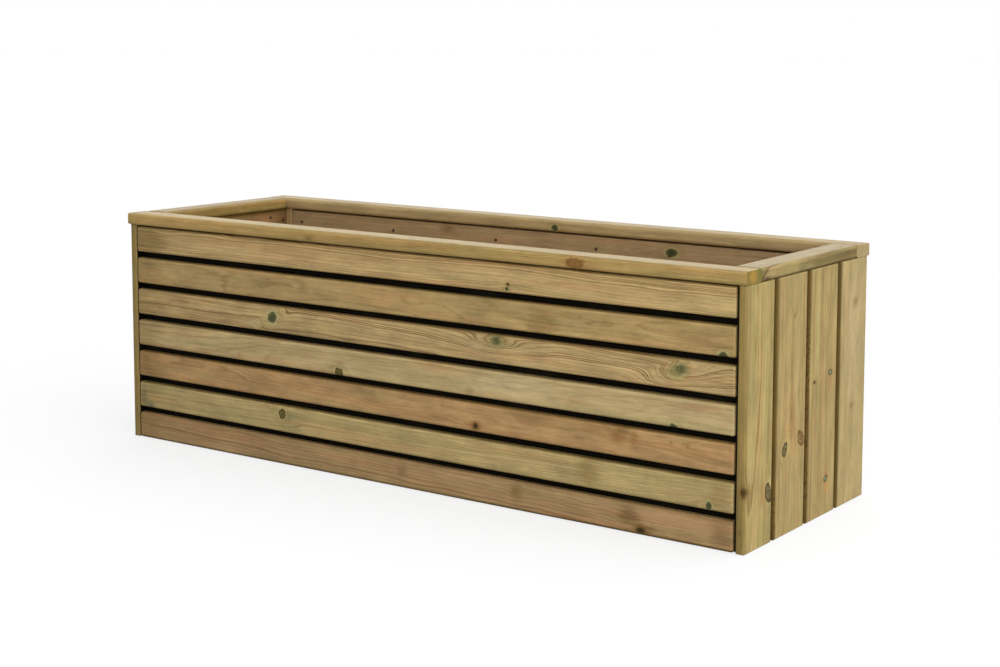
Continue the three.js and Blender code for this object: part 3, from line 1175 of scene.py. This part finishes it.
# ---- Nails and screws ---------------------------------------------------------------------------
# Galvanised nails hold the lining, battens and cleats to the outer boards, their flat heads standing
# a little proud inside. Countersunk screws with a cross recess hold the rim and the base boards.
HEADS = {
    "nails": {"Radius": 0.0030, "Thickness": 0.0011, "Proud": 0.0007},
    "screws": {"Radius": 0.0036, "Thickness": 0.0016, "Proud": 0.0002},
}
PLATES = {
    "nails": (colour(58, 46, 34), colour(96, 80, 62)),
    "screws": (colour(116, 92, 50), colour(156, 134, 86)),
}
RECESS_SIZE = (0.0036, 0.0008, 0.0014)
HEAD_SIDES = 20
HEAD_TAPER = 0.14
LINING_FACE = 0.159
CLEAT_FACE = 0.564
RIM_TOP = 0.389
BASE_TOP = 0.059
NAIL_ROWS = (-0.526, -0.306, -0.078, 0.128, 0.269, 0.497)
LINING_NAILS = ((0.3455,), (0.2805, 0.2372), (0.1777, 0.1296), (0.0749, 0.0220))
BATTEN_NAIL_X = 0.568
BATTEN_NAIL_Z = (0.0220, 0.1834, 0.3448)
CLEAT_NAIL_Y = (-0.1485, -0.1155, -0.0745, -0.0415, 0.0255, 0.0585, 0.1155, 0.1485)
CLEAT_NAIL_Z = ((0.0140, 0.3550), (0.0220, 0.3470))  # of the even and the odd columns
RIM_SCREWS = ((0.573, 0.1590), (0.585, 0.1250))
BASE_SCREW_X = (-0.574, -0.282, 0.0, 0.282, 0.574)
BASE_SCREW_Y = (-0.1035, 0.0, 0.1035)


def cross_recess(start, head):
    """The screw head with a cross cut into its top."""
    top = HEADS["screws"]["Thickness"] / 2
    for turn in (0.0, math.pi / 2):
        bar = start.node("GeometryNodeMeshCube", None, {"Size": RECESS_SIZE}, "Mesh")
        setting = {"Geometry": bar, "Translation": (0.0, 0.0, top), "Rotation": (0.0, 0.0, turn)}
        bar = start.node("GeometryNodeTransform", None, setting)
        cutting = {"operation": "DIFFERENCE"}
        head = start.node("GeometryNodeMeshBoolean", cutting, {0: head, 1: bar}, "Mesh")
    return head


def fixing_tree(kind):
    """Geometry Nodes that set one head on every point of the piece, then turn them to their face."""
    tree = bpy.data.node_groups.new(kind, "GeometryNodeTree")
    tree.is_modifier = True
    tree.interface.new_socket(name="Geometry", in_out="INPUT", socket_type="NodeSocketGeometry")
    inputs = {}
    for name, socket_type in (
        ("Radius", "NodeSocketFloat"),
        ("Thickness", "NodeSocketFloat"),
        ("Proud", "NodeSocketFloat"),
        ("Turn", "NodeSocketVector"),
        ("Seed", "NodeSocketInt"),
        ("Material", "NodeSocketMaterial"),
    ):
        socket = tree.interface.new_socket(name=name, in_out="INPUT", socket_type=socket_type)
        inputs[name] = socket.identifier
    tree.interface.new_socket(name="Geometry", in_out="OUTPUT", socket_type="NodeSocketGeometry")
    start = Reading(tree)
    given = start.node("NodeGroupInput")
    want = {name: given.beside(name) for name in inputs}
    shape = {"Vertices": HEAD_SIDES, "Side Segments": 1, "Fill Segments": 2}
    shape.update({"Radius": want["Radius"], "Depth": want["Thickness"]})
    head = start.node("GeometryNodeMeshCylinder", None, shape, "Mesh")
    where = start.node("GeometryNodeInputPosition")
    on_top = where.part(2).past(0.0)
    flat = where.moved("MULTIPLY", (1.0, 1.0, 0.0))
    reach = flat.length() / want["Radius"]
    inwards = flat.scaled(on_top * -HEAD_TAPER)
    rise = on_top * (1.0 - reach) * want["Thickness"] * HEAD_TAPER
    crown = start.node("ShaderNodeCombineXYZ", None, {2: rise})
    setting = {"Geometry": head, "Offset": inwards.moved("ADD", crown)}
    head = start.node("GeometryNodeSetPosition", None, setting)
    if kind == "screws":
        head = cross_recess(start, head)
    lift = start.node("ShaderNodeCombineXYZ", None, {2: want["Proud"] - want["Thickness"] / 2})
    head = start.node("GeometryNodeTransform", None, {"Geometry": head, "Translation": lift})
    span = {"Min": 0.0, "Max": 2 * math.pi, "Seed": want["Seed"]}
    spin = start.node("FunctionNodeRandomValue", {"data_type": "FLOAT"}, span, "Value")
    setting = {"Points": given, "Instance": head, "Rotation": want["Turn"]}
    heads = start.node("GeometryNodeInstanceOnPoints", None, setting)
    own_turn = start.node("ShaderNodeCombineXYZ", None, {2: spin})
    setting = {"Instances": heads, "Rotation": own_turn}
    heads = start.node("GeometryNodeRotateInstances", None, setting)
    heads = start.node("GeometryNodeRealizeInstances", None, {"Geometry": heads})
    setting = {"Geometry": heads, "Material": want["Material"]}
    heads = start.node("GeometryNodeSetMaterial", None, setting)
    heads.feeds("NodeGroupOutput", 0)
    return tree, inputs


BLOOMS_PER_METRE = 900.0
RUBS_PER_METRE = 2600.0
RUB_DEPTH = 0.0002


def zinc(name, seed, dull, bright):
    """Dull zinc plate: one tone with a bloom of a paler one, and faint rub marks."""
    material, start = new_material(name)
    place = start.node("ShaderNodeTexCoord", output="Object")
    spot = start.node("ShaderNodeMapping", None, {"Vector": place, "Location": (seed, 0.0, 0.0)})
    sockets = {"Vector": spot, "Scale": BLOOMS_PER_METRE, "Detail": 3.0}
    bloom = start.node("ShaderNodeTexNoise", None, sockets)
    sockets = {"Vector": spot, "Scale": RUBS_PER_METRE, "Detail": 1.0}
    rub = start.node("ShaderNodeTexNoise", None, sockets)
    marks = {"Strength": 0.4, "Distance": RUB_DEPTH, "Height": rub}
    plate = {
        "Base Color": start.blend(bloom.fade(0.35, 0.7), dull, bright),
        "Roughness": 0.42 + bloom * 0.3,
        "Metallic": 0.75 + rub * 0.2,
        "Normal": start.node("ShaderNodeBump", None, marks, "Normal"),
    }
    start.node("ShaderNodeBsdfPrincipled", None, plate).feeds()
    return material


TREES = {kind: fixing_tree(kind) for kind in HEADS}


def set_heads(name, places, outwards, kind="nails"):
    """Heads at these places, facing outwards, as one piece."""
    points = bpy.data.meshes.new("points")
    points.from_pydata(places, [], [])
    holder = add_to_scene(bpy.data.objects.new("holder", points))
    shape = holder.modifiers.new("heads", "NODES")
    shape.node_group, inputs = TREES[kind]
    for key, value in (
        *HEADS[kind].items(),
        ("Turn", Vector(Vector(outwards).to_track_quat("Z", "Y").to_euler())),
        ("Seed", len(places)),
        ("Material", zinc(name + "_zinc", len(name), *PLATES[kind])),
    ):
        shape[inputs[key]] = value
    piece = plain_piece(name, holder)
    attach(piece, "root")


for wall, inwards in (("front", 1), ("back", -1)):
    places = []
    for heights in LINING_NAILS:
        for column, x in enumerate(NAIL_ROWS):
            places.append((x, -inwards * LINING_FACE, heights[column % len(heights)]))
    for side in (-1, 1):
        places += [(side * BATTEN_NAIL_X, -inwards * LINING_FACE, z) for z in BATTEN_NAIL_Z]
    set_heads(wall + "_wall_nails", places, (0, inwards, 0))
for end, side in (("left", -1), ("right", 1)):
    places = []
    for column, y in enumerate(CLEAT_NAIL_Y):
        places += [(side * CLEAT_FACE, y, z) for z in CLEAT_NAIL_Z[column % 2]]
    set_heads(end + "_cleat_nails", places, (-side, 0, 0))
set_heads(
    "rim_screws",
    [(a * x, b * y, RIM_TOP) for a in (-1, 1) for b in (-1, 1) for x, y in RIM_SCREWS],
    UPWARD,
    "screws",
)
set_heads(
    "base_screws",
    [(x, y, BASE_TOP) for x in BASE_SCREW_X for y in BASE_SCREW_Y],
    UPWARD,
    "screws",
)
